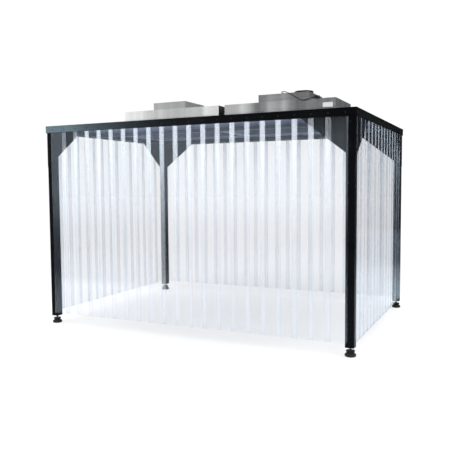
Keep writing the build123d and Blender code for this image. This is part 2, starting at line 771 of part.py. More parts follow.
def make_lead(x):
    """Loose lead: it sags along the front of the unit and turns back onto the fan box."""
    corners = lead_route(x)
    steps = [corners[i + 1] - corners[i] for i in range(len(corners) - 1)]
    radii = []
    for before, after in zip(steps, steps[1:]):
        turn = radians(before.get_angle(after))
        radii.append(0.45 * min(before.length, after.length) / tan(turn / 2))
    print("lead radii", [round(r) for r in radii])
    with BuildPart() as lead:
        with BuildLine() as path:
            FilletPolyline(*corners, radius=radii)
        with BuildSketch(Plane(origin=corners[0], z_dir=steps[0])):
            Circle(lead_diameter / 2)
        sweep(path=path.line)
    length = sum(edge.length for edge in path.edges())
    section = pi * lead_diameter ** 2 / 4
    print("lead length", round(length), "volume over section times length", lead.part.volume / (section * length))
    save(lead, "power_lead")


def lead_route(x):
    """Points that the lead's runs pass through, from the gland to the coil."""
    front = -unit_width / 2
    start = x - gland_size[0] / 2
    level = plenum_top + gland_size[2] - lead_exit_drop
    top = fan_box_top
    join = coil_y - coil_radius
    return [Vector(start, front - 3, level), Vector(start - 28, front - 3, level),
            Vector(start - 66, front - 10, level - 12), Vector(start - 106, front - 13, level - 22),
            Vector(start - 146, front - 12, level - 17), Vector(start - 188, front - 11, level + 8),
            Vector(start - 232, front - 12, level + 38), Vector(start - 274, front - 14, level + 62),
            Vector(start - 312, front - 14, top + 14), Vector(start - 342, front - 5, top + 17),
            Vector(start - 362, front + 17, top + 13), Vector(start - 363, front + 45, top + 9),
            Vector(start - 343, front + 64, top + 7.5), Vector(start - 310, front + 70, top + 7),
            Vector(start - 268, front + 66, top + 8.5), Vector(start - 228, join + 1, top + 10),
            Vector(coil_x - 38, join, top + 13)]


def make_coil():
    """Outer shape of the coiled lead on the electrical section."""
    with BuildPart() as coil:
        with BuildSketch(Plane((coil_x, coil_y, fan_box_top))):
            Circle(coil_radius + coil_width / 2)
            Circle(coil_radius - coil_width / 2, mode=Mode.SUBTRACT)
        extrude(amount=coil_height)
    save(coil, "lead_coil")


def make_plug():
    """Plug at the end of the lead, lying inside the coil."""
    length, width, height = plug_size
    sleeve = coil_radius - coil_width / 2
    with BuildPart() as plug:
        with BuildSketch(Plane((coil_x, coil_y, fan_box_top))):
            RectangleRounded(length, width, plug_radius)
        extrude(amount=height)
        with BuildSketch(Plane((coil_x, coil_y, fan_box_top + height / 2), x_dir=(0, 1, 0), z_dir=(1, 0, 0))):
            Circle(lead_diameter / 2)
        extrude(amount=sleeve)
    save(plug, "lead_plug")


# ---------------------------------------------------------------- build
for corner in CORNERS:
    make_post(corner)
    make_foot(corner)
    for wall, end in corner_walls(corner):
        front_back, left_right = corner.split("_")
        other = left_right if wall == front_back else front_back
        make_gusset(wall, end, f"gusset_{wall}_{other}")
make_lock_nuts()
make_gusset_bolts()
for wall in WALL_TURNS:
    make_beam(wall)
    make_curtain(wall)
    make_stud_bar(wall)
make_cap_nuts()
make_ceiling()
for unit, side in UNITS.items():
    unit_x = side * unit_middle
    make_case(unit, unit_x)
    make_filter(unit, unit_x)
    make_grid(unit, unit_x)
    make_plenum(unit, unit_x)
    make_fan_box(unit, unit_x, control_length if unit == "right" else 0)
    make_inlet_ring(unit, unit_x)
    make_impeller(unit, unit_x)
    make_motor(unit, unit_x)
    make_prefilter(unit, unit_x)
gland_x = unit_middle + unit_length / 2 - gland_right - gland_size[0] / 2
make_gland(gland_x)
make_lead(gland_x)
make_coil()
make_plug()
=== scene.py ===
# %% [markdown]
# # A walk-in softwall clean booth
#
# The booth is a black steel frame on four levelling feet. Clear plastic strips hang on
# all four sides, and two fan filter units lie in the roof and blow clean air down.
# The frame is read first: every piece below takes its place from it, in metres, with
# X to the right, Y to the back and Z up.

# %% The frame
import bpy, bmesh
from math import atan2, cos, pi, radians, sin, tau
from mathutils import Matrix, Vector


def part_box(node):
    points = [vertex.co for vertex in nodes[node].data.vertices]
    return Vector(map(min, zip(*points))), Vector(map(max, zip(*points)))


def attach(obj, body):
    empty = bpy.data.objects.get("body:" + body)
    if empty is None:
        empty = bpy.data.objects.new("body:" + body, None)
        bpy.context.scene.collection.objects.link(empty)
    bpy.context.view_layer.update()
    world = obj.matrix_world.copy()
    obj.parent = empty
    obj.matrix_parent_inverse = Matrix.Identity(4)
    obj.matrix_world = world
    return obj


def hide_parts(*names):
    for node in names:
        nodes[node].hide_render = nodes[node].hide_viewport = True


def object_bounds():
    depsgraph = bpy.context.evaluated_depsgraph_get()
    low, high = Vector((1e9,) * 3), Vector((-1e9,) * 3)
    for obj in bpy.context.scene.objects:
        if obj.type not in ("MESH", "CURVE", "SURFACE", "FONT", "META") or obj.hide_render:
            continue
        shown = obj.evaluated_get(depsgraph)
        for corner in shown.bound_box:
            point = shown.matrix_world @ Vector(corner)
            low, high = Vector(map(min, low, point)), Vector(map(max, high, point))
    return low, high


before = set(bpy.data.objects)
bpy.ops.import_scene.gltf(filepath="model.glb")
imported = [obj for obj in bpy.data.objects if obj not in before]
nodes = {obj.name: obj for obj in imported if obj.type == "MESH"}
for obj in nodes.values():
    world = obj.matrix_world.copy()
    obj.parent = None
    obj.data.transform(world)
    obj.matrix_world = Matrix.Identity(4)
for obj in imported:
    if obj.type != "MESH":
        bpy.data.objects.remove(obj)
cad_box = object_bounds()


def starting(*starts):
    """Names of the CAD nodes that start so."""
    return [name for name in nodes if name.startswith(starts)]


def box_of(node):
    """Lowest and highest corner of a CAD node."""
    return [Vector(map(pick, *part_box(node))) for pick in (min, max)]


print(len(nodes), "nodes, frame from", cad_box[0], "to", cad_box[1])

# %% [markdown]
# ## The camera
#
# The booth was looked at from the right of its front, at eye height and about seven
# metres away, with a normal lens. The camera's axes are worked out from three angles:
# which way it points, how far it looks down and how far it leans.

# %% Camera
eye = Vector((2.83794, -6.17906, 1.48145))
heading, dip, lean = radians(25.603), radians(3.748), radians(-0.4485)
focal_length_mm, film_width_mm, farthest_seen = 47.927, 36.0, 200.0
sight = Vector((-sin(heading) * cos(dip), cos(heading) * cos(dip), -sin(dip)))
level_right = Vector((cos(heading), sin(heading), 0))
level_up = level_right.cross(sight)
right = level_right * cos(lean) + level_up * sin(lean)
up = level_up * cos(lean) - level_right * sin(lean)

lens = bpy.data.cameras.new("camera")
lens.lens, lens.sensor_width, lens.clip_end = focal_length_mm, film_width_mm, farthest_seen
camera = bpy.data.objects.new("camera", lens)
turned = Matrix((right, up, -sight)).transposed().to_4x4()
camera.matrix_world = Matrix.Translation(eye) @ turned
bpy.context.scene.collection.objects.link(camera)
bpy.context.scene.camera = camera
bpy.context.scene.view_settings.view_transform = "Standard"
print("camera", round(eye.length, 2), "m from the middle of the floor")

# %% [markdown]
# ## The power lead
#
# The lead comes out of the gland on the right-hand unit, sags along the front of the
# unit, turns back onto the fan box and ends in a coil with its plug in the middle. It
# is one smooth line, so it is a curve of one spline, and the coil's turns are more
# points of it: nine turns in three layers, each turn a cord's thickness from the next.

# %% Lead route
lead_diameter = 0.008
lead_hang = [(1.040, -0.308, 2.357), (1.012, -0.308, 2.357), (0.974, -0.315, 2.345),
             (0.934, -0.318, 2.335), (0.894, -0.317, 2.340), (0.852, -0.316, 2.365),
             (0.808, -0.317, 2.395), (0.766, -0.319, 2.419), (0.728, -0.319, 2.435),
             (0.698, -0.310, 2.438), (0.678, -0.288, 2.434), (0.677, -0.260, 2.430),
             (0.697, -0.241, 2.4285), (0.730, -0.235, 2.428), (0.772, -0.240, 2.4285),
             (0.815, -0.2505, 2.4275)]
coil_middle = Vector((0.882, -0.166, 2.421))
coil_radii = (0.0915, 0.083, 0.0745)
coil_layers, turn_points, coil_start = 3, 16, radians(-80)
lowest_layer, layer_step = 0.53, 1.02       # both in lead diameters


def coil_turns():
    """Points of the coil: in, out and in again, one layer above the other."""
    points = []
    spread = 1 / (0.75 + 0.25 * cos(tau / turn_points))     # a spline of order 3 cuts its corners
    for layer in range(coil_layers):
        for radius in coil_radii if layer % 2 == 0 else coil_radii[::-1]:
            for step in range(turn_points):
                angle = coil_start + tau * step / turn_points
                height = lead_diameter * (lowest_layer + layer_step * layer)
                points.append(coil_middle + Vector((
                    radius * spread * cos(angle), radius * spread * sin(angle), height)))
    return points


plug_turn = [coil_middle + Vector(place) for place in (
    (0.0132, -0.0748, 0.0206), (0.0357, -0.0668, 0.0206), (0.0464, -0.0588, 0.0206),
    (0.0572, -0.0484, 0.0206), (0.0621, -0.0341, 0.0204), (0.0599, -0.0192, 0.0180),
    (0.0511, -0.0069, 0.0145), (0.0377, 0.0, 0.0118), (0.0230, 0.0, 0.0110))]
lead_points = [Vector(place) for place in lead_hang] + coil_turns() + plug_turn
print(len(lead_points), "points on the lead")

# %% Lead
lead_curve = bpy.data.curves.new("lead", "CURVE")
lead_curve.dimensions = "3D"
lead_spline = lead_curve.splines.new("NURBS")
lead_spline.points.add(len(lead_points) - 1)
for point, place in zip(lead_spline.points, lead_points):
    point.co, point.radius = (*place, 1), lead_diameter / 2
lead_spline.order_u = 3
lead_spline.use_endpoint_u = True
lead_spline.resolution_u = 6
lead = bpy.data.objects.new("lead", lead_curve)
bpy.context.scene.collection.objects.link(lead)
line = bpy.data.meshes.new_from_object(lead)
bpy.data.meshes.remove(line)
lead_curve.bevel_depth, lead_curve.bevel_resolution = 1.0, 3        # times each point's radius
lead_curve.use_fill_caps = True
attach(lead, "frame")
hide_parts("power_lead", "lead_coil")

# %% [markdown]
# ## Finishes
#
# Every finish is a small network of shader nodes. Sums on them read best when they are
# written as sums, so one class wraps an output and overloads the signs, and one method
# adds any other node: its kind, its settings, and the values of its sockets. What is
# worked out from a point on the piece reads Object coordinates, so a pattern keeps its
# real size and stays with its piece.

# %% Sums on shader nodes
class Signal:
    """One output of a shader node, on which sums can be written."""

    def __init__(self, finish, socket):
        self.finish, self.socket = finish, socket

    def sum(self, operation, first, second):
        return self.finish.add("ShaderNodeMath", {"operation": operation}, {0: first, 1: second})

    def __add__(self, other): return self.sum("ADD", self, other)
    def __sub__(self, other): return self.sum("SUBTRACT", self, other)
    def __rsub__(self, other): return self.sum("SUBTRACT", other, self)
    def __mul__(self, other): return self.sum("MULTIPLY", self, other)
    def __rmul__(self, other): return self.sum("MULTIPLY", other, self)
    def __pow__(self, other): return self.sum("POWER", self, other)
    def __gt__(self, other): return self.sum("GREATER_THAN", self, other)
    def __lt__(self, other): return self.sum("LESS_THAN", self, other)


# %% A network of nodes
class Network:
    """The nodes of a material or of the sky."""

    def __init__(self, tree):
        self.tree = tree

    def add(self, kind, settings=(), sockets=(), out=0):
        """Adds a node: its settings first, then values or links for its sockets."""
        node = self.tree.nodes.new(kind)
        for name, value in dict(settings).items():
            if name == "stops":
                self.stops(node.color_ramp, value)
            else:
                setattr(node, name, value)
        for name, value in dict(sockets).items():
            self.connect(node.inputs[name], value)
        return Signal(self, node.outputs[out])

    def connect(self, socket, value):
        if isinstance(value, Signal):
            self.tree.links.new(value.socket, socket)
        elif isinstance(value, tuple) and len(value) == 3 and socket.type == "RGBA":
            socket.default_value = (*value, 1)
        else:
            socket.default_value = value

    def stops(self, ramp, values):
        while len(ramp.elements) < len(values):
            ramp.elements.new(0.5)
        for element, (place, colour) in zip(ramp.elements, values):
            element.position = place
            element.color = (*colour, 1) if isinstance(colour, tuple) else (colour,) * 3 + (1,)

    def place(self, scale=(1, 1, 1), coordinates="Object"):
        """Where a point is on the piece, scaled."""
        point = self.add("ShaderNodeTexCoord", out=coordinates)
        return self.add("ShaderNodeMapping", {}, {"Vector": point, "Scale": scale})

    def axes(self, coordinates="Object"):
        """The three numbers of a point on the piece."""
        point = {"Vector": self.place(coordinates=coordinates)}
        split = self.add("ShaderNodeSeparateXYZ", {}, point).socket.node
        return [Signal(self, number) for number in split.outputs]

    def absolute(self, signal):
        return self.add("ShaderNodeMath", {"operation": "ABSOLUTE"}, {0: signal})

    def noise(self, vector, scale, detail=2.0, roughness=0.5):
        return self.add("ShaderNodeTexNoise", {}, {
            "Vector": vector, "Scale": scale, "Detail": detail, "Roughness": roughness})

    def ramp(self, signal, stops):
        return self.add("ShaderNodeValToRGB", {"stops": stops}, {"Fac": signal})

    def span(self, signal, low, high, new_low=0.0, new_high=1.0):
        """Stretches the range low..high of a signal to new_low..new_high."""
        return self.add("ShaderNodeMapRange", {}, {
            "Value": signal, "From Min": low, "From Max": high, "To Min": new_low, "To Max": new_high})

    def blend(self, share, first, second):
        """A colour between two: none of the second at a share of 0, all of it at 1."""
        return self.add("ShaderNodeMix", {"data_type": "RGBA"}, {0: share, 6: first, 7: second}, out=2)

    def mix(self, share, first, second):
        """A shader between two."""
        return self.add("ShaderNodeMixShader", {}, {0: share, 1: first, 2: second})


# %% One finish
class Finish(Network):
    """A material with its main shader."""

    def __init__(self, name, **plain):
        self.material = bpy.data.materials.new(name)
        self.material.use_nodes = True
        super().__init__(self.material.node_tree)
        self.shader = self.tree.nodes["Principled BSDF"]
        self.set(**plain)

    def set(self, **values):
        """Sets the shader's sockets: base_color=..., roughness=... and so on."""
        for name, value in values.items():
            socket = name.replace("_", " ").title().replace("Ior", "IOR")
            self.connect(self.shader.inputs[socket], value)

    def relief(self, height, strength, distance):
        """A surface that looks raised, by so many metres at the most."""
        return self.add("ShaderNodeBump", {}, {
            "Height": height, "Strength": strength, "Distance": distance})

    def bump(self, height, strength, distance):
        self.set(normal=self.relief(height, strength, distance))

    def show(self, shader):
        """Shows another shader in place of the main one."""
        self.connect(self.tree.nodes["Material Output"].inputs["Surface"], shader)


def dress(finish, *names):
    """Gives CAD nodes a finish."""
    for name in names:
        slots = nodes[name].data.materials
        slots.clear()
        slots.append(finish.material)
    print(finish.material.name, "on", len(names), "nodes")


# %% New pieces
def make_piece(name, mesh, finish, slot, body, *stands_for, smooth=True):
    """Turns a bmesh into a piece with its finish, riding on a body."""
    data = bpy.data.meshes.new(name)
    mesh.to_mesh(data)
    mesh.free()
    data.materials.append(finish.material)
    for face in data.polygons:
        face.use_smooth = smooth
    piece = bpy.data.objects.new(name, data)
    bpy.context.scene.collection.objects.link(piece)
    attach(piece, body)
    if stands_for:
        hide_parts(*stands_for)
    print(name, len(data.polygons), "faces")
    return piece


# %% [markdown]
# ### Black frame paint
#
# The frame is welded from square tube and folded sheet, and powder coated in a satin
# black. Powder coat is never flat: it has a fine orange peel, and dust settles on it in
# soft clouds. Noise of two sizes gives both. The rails of the roof wear the same black,
# painted slate here as a painted reflection of the blue grey roof panels, which the
# same function makes.

# %% Frame paint
def painted(name, colour, dusty, gloss, level):
    """Powder coat with soft clouds of dust on it."""
    cloud_size, peel_size, peel_depth = 1.7, 420.0, 0.0004
    finish = Finish(name, specular_ior_level=level)
    spot = finish.place()
    cloud = finish.noise(spot, cloud_size, 4.0, 0.6)
    peel = finish.noise(spot, peel_size, 1.0)
    dust = finish.span(cloud, 0.42, 0.75)
    finish.set(base_color=finish.blend(dust, colour, dusty),
               roughness=finish.span(cloud, 0.3, 0.7, gloss, gloss + 0.12) + 0.03 * peel)
    finish.bump(peel, 0.12, peel_depth)
    return finish


frame_paint = painted("frame_paint", (0.0024, 0.0025, 0.0034), (0.0042, 0.0045, 0.0060), 0.20, 0.04)
# The rails' slate blue is a painted reflection of the roof panels; their own paint is the frame's black.
rail_black_painted_slate = painted("rail_black_painted_slate", (0.045, 0.055, 0.095), (0.055, 0.065, 0.105), 0.30, 0.1)
ceiling_paint = painted("ceiling_paint", (0.140, 0.170, 0.255), (0.160, 0.187, 0.272), 0.35, 0.1)
gusset_names = [name for name in starting("gusset_") if name != "gusset_bolts"]
dress(frame_paint, *starting("post_", "beam_"), *gusset_names)
dress(rail_black_painted_slate, "roof_rail_front", "roof_rail_rear")
dress(ceiling_paint, "roof_crossbars", *starting("ceiling_panel"))

# %% [markdown]
# ### Brushed stainless steel
#
# The units are folded from brushed stainless sheet. The brushing runs along the sheet,
# so the fine noise is stretched a hundred times along X. A sheet brushed that way draws
# reflections out into upright streaks, which a second noise paints into the colour: it
# changes along X and hardly at all in height. The broad light and dark areas are the
# room's own reflections, drawn out the same way and painted in as a row of tones along
# X. The fan boxes are painted a little darker, for the dimmer reflection that they show,
# and the sides that face each other across the gap between the two units are painted
# dark, as painted shade for that narrow gap.

# %% Stainless sheet
def brushed(name, light, dark, along=(0.6, 60.0, 60.0), across=(5.0, 5.0, 0.35), gloss=0.30):
    """Brushed metal: fine lines one way, and broader streaks the other way, which also paint drawn-out
    reflections into the colour.
    """
    line_depth = 0.0008
    finish = Finish(name, metallic=1.0)
    lines = finish.noise(finish.place(along), 6.0, 3.0, 0.7)
    streaks = finish.noise(finish.place(across), 1.0, 4.0, 0.62)
    lightness = finish.span(streaks, 0.38, 0.62) * 0.85 + lines * 0.3 - 0.07
    finish.colour = finish.blend(lightness, dark, light)
    finish.set(base_color=finish.colour,
               roughness=finish.span(lines, 0.3, 0.7, gloss - 0.06, gloss + 0.08))
    finish.bump(lines * 0.5 + streaks * 0.5, 0.15, line_depth)
    return finish


unit_steel = brushed("unit_steel", (0.97, 0.98, 0.97), (0.34, 0.35, 0.35))
inlet_steel = brushed("inlet_steel", (0.62, 0.63, 0.63), (0.45, 0.46, 0.46),
                      (30.0, 30.0, 2.0), (9.0, 9.0, 9.0), 0.22)

# %% Painted reflections and shade on the units
half_gap, fan_box_foot, units_reach = 0.036, 2.3455, 1.25
left_tones = [(0.00, 0.97), (0.09, 0.97), (0.13, 0.55), (0.24, 0.62), (0.40, 0.50), (0.42, 0.97),
              (0.485, 0.97)]
right_tones = [(0.515, 0.52), (0.575, 0.60), (0.60, 0.95), (0.63, 0.55), (0.66, 0.20), (0.69, 0.18),
               (0.72, 0.58), (0.76, 0.42), (0.785, 0.80), (0.81, 0.30), (0.84, 0.16), (0.92, 0.16),
               (1.00, 0.34)]
# The row of tones paints the room's reflections into the units' colour.
along_units, _, level = unit_steel.axes()
painted_reflections = unit_steel.ramp(unit_steel.span(along_units, -units_reach, units_reach),
                          left_tones + right_tones)
drawn_out = unit_steel.blend(0.3, painted_reflections, unit_steel.colour)
# Above the fan boxes' foot the steel is painted darker: a painted reflection, for the dimmer reflection that
# the fan boxes show.
fan_boxes_painted_darker = unit_steel.blend((level > fan_box_foot) * 0.45, drawn_out, (0.30, 0.31, 0.31))
# The sides that face each other across the narrow gap are painted nearly black: painted shade for the gap.
painted_gap_shade = unit_steel.absolute(along_units) < half_gap
unit_steel.set(base_color=unit_steel.blend(painted_gap_shade * 0.9, fan_boxes_painted_darker, (0.02, 0.02, 0.02)))
dress(unit_steel, *[name for name in nodes if name.endswith(("filter_case", "plenum", "fan_box"))])
dress(inlet_steel, *[name for name in nodes if name.endswith("inlet_ring")])

# %% [markdown]
# ### Fan, motor and filters
#
# The impellers are spun and riveted aluminium, the motors are painted castings, and
# the filters are folded white paper behind a white grid.

# %% Fan and motor finishes
impeller_alloy = brushed("impeller_alloy", (0.70, 0.71, 0.72), (0.55, 0.56, 0.57),
                         (14.0, 14.0, 14.0), (9.0, 9.0, 9.0), 0.34)
motor_alloy = painted("motor_alloy", (0.16, 0.165, 0.17), (0.24, 0.245, 0.25), 0.42, 0.5)
grid_paint = painted("grid_paint", (0.74, 0.75, 0.75), (0.66, 0.67, 0.67), 0.36, 0.5)
dress(impeller_alloy, "left_impeller", "right_impeller")
dress(motor_alloy, "left_motor", "right_motor")
dress(grid_paint, "left_outlet_grid", "right_outlet_grid")

# %% Filter paper
filter_media = Finish("filter_media", roughness=0.9, specular_ior_level=0.2)
fibre = filter_media.noise(filter_media.place(), 260.0, 4.0, 0.7)
filter_media.set(base_color=filter_media.blend(fibre, (0.70, 0.71, 0.70), (0.86, 0.87, 0.86)))
filter_media.bump(fibre, 0.4, 0.0006)
dress(filter_media, "left_filter", "right_filter")

# %% Prefilter wool
prefilter_pad = Finish("prefilter_pad", roughness=0.95, specular_ior_level=0.1)
wool = prefilter_pad.noise(prefilter_pad.place(), 190.0, 6.0, 0.8)
tuft = prefilter_pad.add("ShaderNodeTexVoronoi", {"feature": "F1"},
                         {"Vector": prefilter_pad.place(), "Scale": 330.0})
wool_tones = [(0.25, (0.10, 0.11, 0.12)), (0.5, (0.34, 0.36, 0.37)), (0.8, (0.60, 0.62, 0.62))]
prefilter_pad.set(base_color=prefilter_pad.ramp(wool * 0.8 + tuft * 0.3, wool_tones))
prefilter_pad.bump(wool + tuft * 0.5, 0.9, 0.002)
print("wool with", len(wool_tones), "tones")

# %% [markdown]
# ### Zinc, black screws, nylon and rubber
#
# Zinc plating has a faint cold mottle, black screws are oiled and a little brown in
# places, and moulded nylon and rubber are dull with a very fine grain.

# %% Small finishes
def moulded(name, colour, worn, gloss, grain):
    """Dull plastic, rubber or oiled steel, paler where it is worn."""
    finish = Finish(name, specular_ior_level=0.15)
    spot = finish.place()
    mottle = finish.noise(spot, 45.0, 3.0, 0.6)
    grit = finish.noise(spot, grain, 2.0, 0.6)
    finish.set(base_color=finish.blend(finish.span(mottle, 0.4, 0.75), colour, worn),
               roughness=finish.span(mottle, 0.3, 0.7, gloss, gloss + 0.15))
    finish.bump(grit, 0.25, 0.0003)
    return finish


foot_nylon = moulded("foot_nylon", (0.014, 0.014, 0.015), (0.030, 0.030, 0.031), 0.48, 900.0)
black_fasteners = moulded("black_fasteners", (0.012, 0.012, 0.013), (0.035, 0.032, 0.030), 0.35, 700.0)
lead_rubber = moulded("lead_rubber", (0.016, 0.017, 0.020), (0.032, 0.033, 0.037), 0.42, 1200.0)
plug_plastic = moulded("plug_plastic", (0.018, 0.018, 0.020), (0.034, 0.034, 0.036), 0.38, 800.0)
zinc_nuts = brushed("zinc_nuts", (0.34, 0.35, 0.37), (0.20, 0.21, 0.23),
                    (12.0, 12.0, 12.0), (20.0, 20.0, 20.0))
stud_bar_steel = painted("stud_bar_steel", (0.010, 0.010, 0.012), (0.018, 0.018, 0.020), 0.30, 0.2)
lead.data.materials.append(lead_rubber.material)
dress(black_fasteners, "gusset_bolts", "power_gland")
dress(stud_bar_steel, *starting("stud_bar"))
print(len(bpy.data.materials), "finishes")

# %% [markdown]
# ## Strip curtains
#
# The strips are soft clear vinyl, 200 mm wide and 2 mm thick, hung every 150 mm so that
# two neighbours overlap by 50 mm. Every second one hangs in the outer layer. Each strip
# starts as a flat grid, gets its thickness, and then sways a little: not at all at the
# studs and a few millimetres at the free end. Both layers sway together, and a strip's
# edges cup away from the layer that it lies against, so that they never touch.

# %% Walls
strip_width, strip_pitch, strip_thickness = 0.200, 0.150, 0.002
wall_turns = {"front": 0, "right": 90, "rear": 180, "left": 270}


def wall_box(node, wall):
    """A node's lowest and highest corner as seen from outside a wall: along, out of it, up."""
    turn = Matrix.Rotation(-radians(wall_turns[wall]), 4, "Z")
    corners = [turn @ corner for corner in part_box(node)]
    return [Vector(map(pick, *corners)) for pick in (min, max)]


# %% Sway
sway_depth, sway_growth, sway_mean = 0.0011, 1.3, 0.9
cup_depth, cup_reach = 0.0016, 0.5


def sway(along, drop, wall):
    """How far a strip hangs into the booth, along a wall and below its head."""
    phase = wall_turns[wall]
    slow = sin(along * 2.3 + phase) + 0.6 * sin(along * 5.9 + 2.0 * phase + drop * 1.1)
    return sway_depth * drop ** sway_growth * (sway_mean - slow)


def cup(across, drop, inner):
    """How far a strip's edges bend away from the other layer, across the strip from -1 to 1."""
    away_from_other = 1 if inner else -1
    return cup_depth * abs(across) ** 4 * min(1.0, drop / cup_reach) * away_from_other


# %% Where strips cling
plate_shade_edge, edge_width, cling_reach = 0.08, 0.02, 0.5
# In front of a gusset the milk is cut to a quarter: painted shade for the light that the plate keeps off the
# strips.
milk_in_plate_shade, cling_below = 0.25, 0.25


def cling(along, drop, level, width, plate):
    """How milky two strips are where they cling: most near the studs, none at a free edge, and little in
    front of a gusset, which is painted shade for the light that the plate keeps off the strip.
    """
    low, high = plate
    inward = max(abs(low.x), abs(high.x)) - abs(along)
    on_plate = (high.z - low.z) * (1 - inward / (high.x - low.x)) - (high.z - level)
    plate_shade = min(1.0, max(0.0, 0.5 + on_plate / plate_shade_edge))
    to_edge = width / 2 - strip_width + strip_pitch - abs(along)
    free = min(1.0, max(0.0, to_edge / edge_width))
    near_head = cling_below + (1 - cling_below) / (1 + (drop / cling_reach) ** 4)
    return free * (1 - (1 - milk_in_plate_shade) * plate_shade) * near_head


# %% One strip
strip_columns, strip_rows = 8, 40


def hang_strip(curtain, wall, number, middle, low, high, plate):
    """Adds one strip to a curtain: a grid, thickened, then swayed."""
    uv, clung = curtain.loops.layers.uv["strip"], curtain.verts.layers.float["cling"]
    height = high.z - low.z
    start = len(curtain.verts)
    grid = bmesh.ops.create_grid(curtain, x_segments=strip_columns, y_segments=strip_rows, size=0.5)["verts"]
    bmesh.ops.scale(curtain, verts=grid, vec=(strip_width, height, 1))
    faces = list({face for vert in grid for face in vert.link_faces})
    bmesh.ops.solidify(curtain, geom=faces, thickness=strip_thickness)
    verts = list(curtain.verts)[start:]
    front = max(vert.co.z for vert in verts)
    inner = number % 2
    for corner in (corner for vert in verts for corner in vert.link_loops):
        corner[uv].uv = (corner.vert.co.x / strip_width + 0.5 + number, corner.vert.co.y / height)
    for vert in verts:
        along, drop = middle + vert.co.x, height / 2 - vert.co.y
        depth = front - vert.co.z + inner * strip_thickness + sway(along, drop, wall)
        depth += cup(vert.co.x / (strip_width / 2), drop, inner)
        vert.co = (along, depth + low.y, high.z - drop)
        vert[clung] = cling(along, drop, vert.co.z, high.x - low.x, plate)


# %% One wall of strips
def hang_curtain(wall):
    """All the strips of one wall as one piece."""
    low, high = wall_box(f"strips_{wall}", wall)
    plate = wall_box(f"gusset_{wall}_{'left' if wall in ('front', 'rear') else 'front'}", wall)
    count = round((high.x - low.x - strip_width) / strip_pitch) + 1
    curtain = bmesh.new()
    curtain.loops.layers.uv.new("strip")
    curtain.verts.layers.float.new("cling")
    for number in range(count):
        middle = (number - (count - 1) / 2) * strip_pitch
        hang_strip(curtain, wall, number, middle, low, high, plate)
    turned = Matrix.Rotation(radians(wall_turns[wall]), 3, "Z")
    bmesh.ops.rotate(curtain, verts=curtain.verts, matrix=turned)
    bmesh.ops.recalc_face_normals(curtain, faces=curtain.faces)
    make_piece(f"curtain_{wall}", curtain, clear_strip, "clear_strip", "frame", f"strips_{wall}")


# %% [markdown]
# ### Clear vinyl
#
# Clear vinyl shows in three ways: a faint haze, a glossy skin that grows towards a
# grazing view, and milky bands where two strips cling together and trap air. The bands
# follow each strip, so they read its own UV map, and how milky they are comes from an
# attribute that was written on the strips' points. The milk is partly translucent, so
# it takes light from both sides and glows in front of the dark ceiling, while a bright
# wall behind it hides it. The rest is left transparent, which keeps the light inside
# the booth soft and bright.

# %% Where the vinyl is milky
clear_strip = Finish("clear_strip", roughness=0.4, specular_ior_level=0.0)
overlap_start, overlap_edge = 0.242, 0.256         # from a strip's middle, in its widths
least_milk, most_milk, least_scuff, most_scuff = 0.13, 0.21, 0.004, 0.012
strip_place, _, _ = clear_strip.axes("UV")
across = clear_strip.add("ShaderNodeMath", {"operation": "FRACT"}, {0: strip_place})
band = clear_strip.span(clear_strip.absolute(across - 0.5), overlap_start, overlap_edge)
streak = clear_strip.noise(clear_strip.place((38.0, 0.9, 1.0), "UV"), 1.0, 3.0, 0.6)
clung = clear_strip.add("ShaderNodeAttribute", {"attribute_name": "cling"}, out="Fac")
trapped = band * clung * clear_strip.span(streak, 0.3, 0.7, least_milk, most_milk)
scuffed = clear_strip.span(streak, 0.5, 0.8, least_scuff, most_scuff)

# %% Clear vinyl
see_through, painted_sky_tint, glow_tint = (0.980, 0.981, 0.985), (0.72, 0.86, 1.0), (0.88, 0.935, 0.995)
straight_gloss, grazing_gloss, ripple_depth = 0.052, 0.30, 0.004
haze = clear_strip.noise(clear_strip.place((0.35, 0.35, 0.2)), 1.1, 2.0, 0.5)
tint = clear_strip.blend(clear_strip.span(haze, 0.4, 0.6), (0.83, 0.92, 1.00), (0.93, 0.95, 0.99))
wave = clear_strip.noise(clear_strip.place((7.0, 2.2, 1.0), "UV"), 1.0, 2.0, 0.5)
clear_strip.set(base_color=tint)
plain = Signal(clear_strip, clear_strip.shader.outputs[0])
glow = clear_strip.add("ShaderNodeBsdfTranslucent", {}, {"Color": glow_tint})
clear = clear_strip.add("ShaderNodeBsdfTransparent", {}, {"Color": see_through})
# The skin's blue colour is a painted reflection: it stands for a bluish sky, though the sky here is white.
skin = clear_strip.add("ShaderNodeBsdfAnisotropic", {}, {
    "Color": painted_sky_tint, "Roughness": 0.10, "Normal": clear_strip.relief(wave, 1.0, ripple_depth)})
grazing = clear_strip.add("ShaderNodeLayerWeight", {}, {"Blend": 0.5}, out="Facing")
milk = clear_strip.mix(0.4, plain, glow)
body = clear_strip.mix(trapped + scuffed, clear, milk)
clear_strip.show(clear_strip.mix(grazing ** 5.0 * grazing_gloss + straight_gloss, body, skin))
print(len(clear_strip.tree.nodes), "nodes in the vinyl")

# %% Four curtains
for wall in wall_turns:
    hang_curtain(wall)

# %% [markdown]
# ## Small parts
#
# Round parts are turned on a lathe: a line of radii and levels, spun about an upright
# axis. A trim then pushes points in towards the axis, which makes a hexagon or the
# hollows of a hand grip. Each part is made once about the origin and set in its place.

